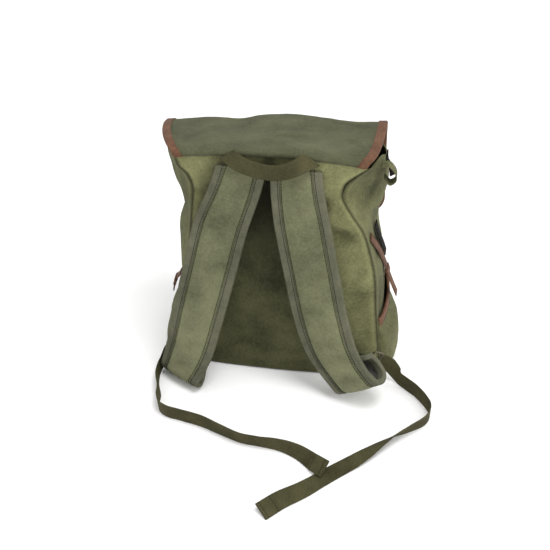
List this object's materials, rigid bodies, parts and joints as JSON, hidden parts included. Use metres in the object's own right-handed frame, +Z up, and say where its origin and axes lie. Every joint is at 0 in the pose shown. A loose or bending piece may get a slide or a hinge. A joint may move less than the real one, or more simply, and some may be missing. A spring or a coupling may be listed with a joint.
{
  "type": "canvas backpack",
  "caption": "Soft canvas rucksack standing on its base, back side in front, with padded shoulder straps, a bound flap, side pockets and loose webbing tails.",
  "frame": {"origin": "middle of the base, on the surface that the bag stands on", "axes": "+Z up, -Y out of the carrying side with the shoulder straps, +X to the right when that side is looked at"},
  "size_m": [0.4298, 0.4736, 0.3722],
  "materials": {
    "canvas": "matt cotton canvas",
    "strap_canvas": "matt cotton canvas",
    "strap_lining": "matt spacer mesh",
    "tape": "matt binding tape",
    "webbing": "ribbed cotton webbing",
    "leather": "worn matt leather",
    "dark_leather": "matt leather",
    "metal": "dull"
  },
  "bodies": {
    "root": {"back_panel": "canvas", "side_panel_right": "canvas", "front_panel": "canvas", "side_panel_left": "canvas", "bottom_panel": "canvas", "flap": "canvas", "flap_binding": "leather", "shoulder_strap_left": "strap_canvas", "strap_lining_left": "strap_lining", "strap_binding_left": "tape", "shoulder_strap_right": "strap_canvas", "strap_lining_right": "strap_lining", "strap_binding_right": "tape", "webbing_tail_left": "webbing", "webbing_tail_right": "webbing", "handle": "webbing", "side_pocket_left": "canvas", "pocket_binding_left": "leather", "pocket_strap_left": "leather", "pocket_keeper_left": "leather", "strap_buckle_left": "metal", "anchor_webbing_left": "webbing", "side_pocket_right": "canvas", "pocket_binding_right": "leather", "pocket_strap_right": "leather", "pocket_keeper_right": "leather", "strap_buckle_right": "metal", "anchor_webbing_right": "webbing", "hold_strap_right": "dark_leather", "side_loop_right": "canvas", "side_thong_right": "dark_leather"}
  },
  "joints": []
}
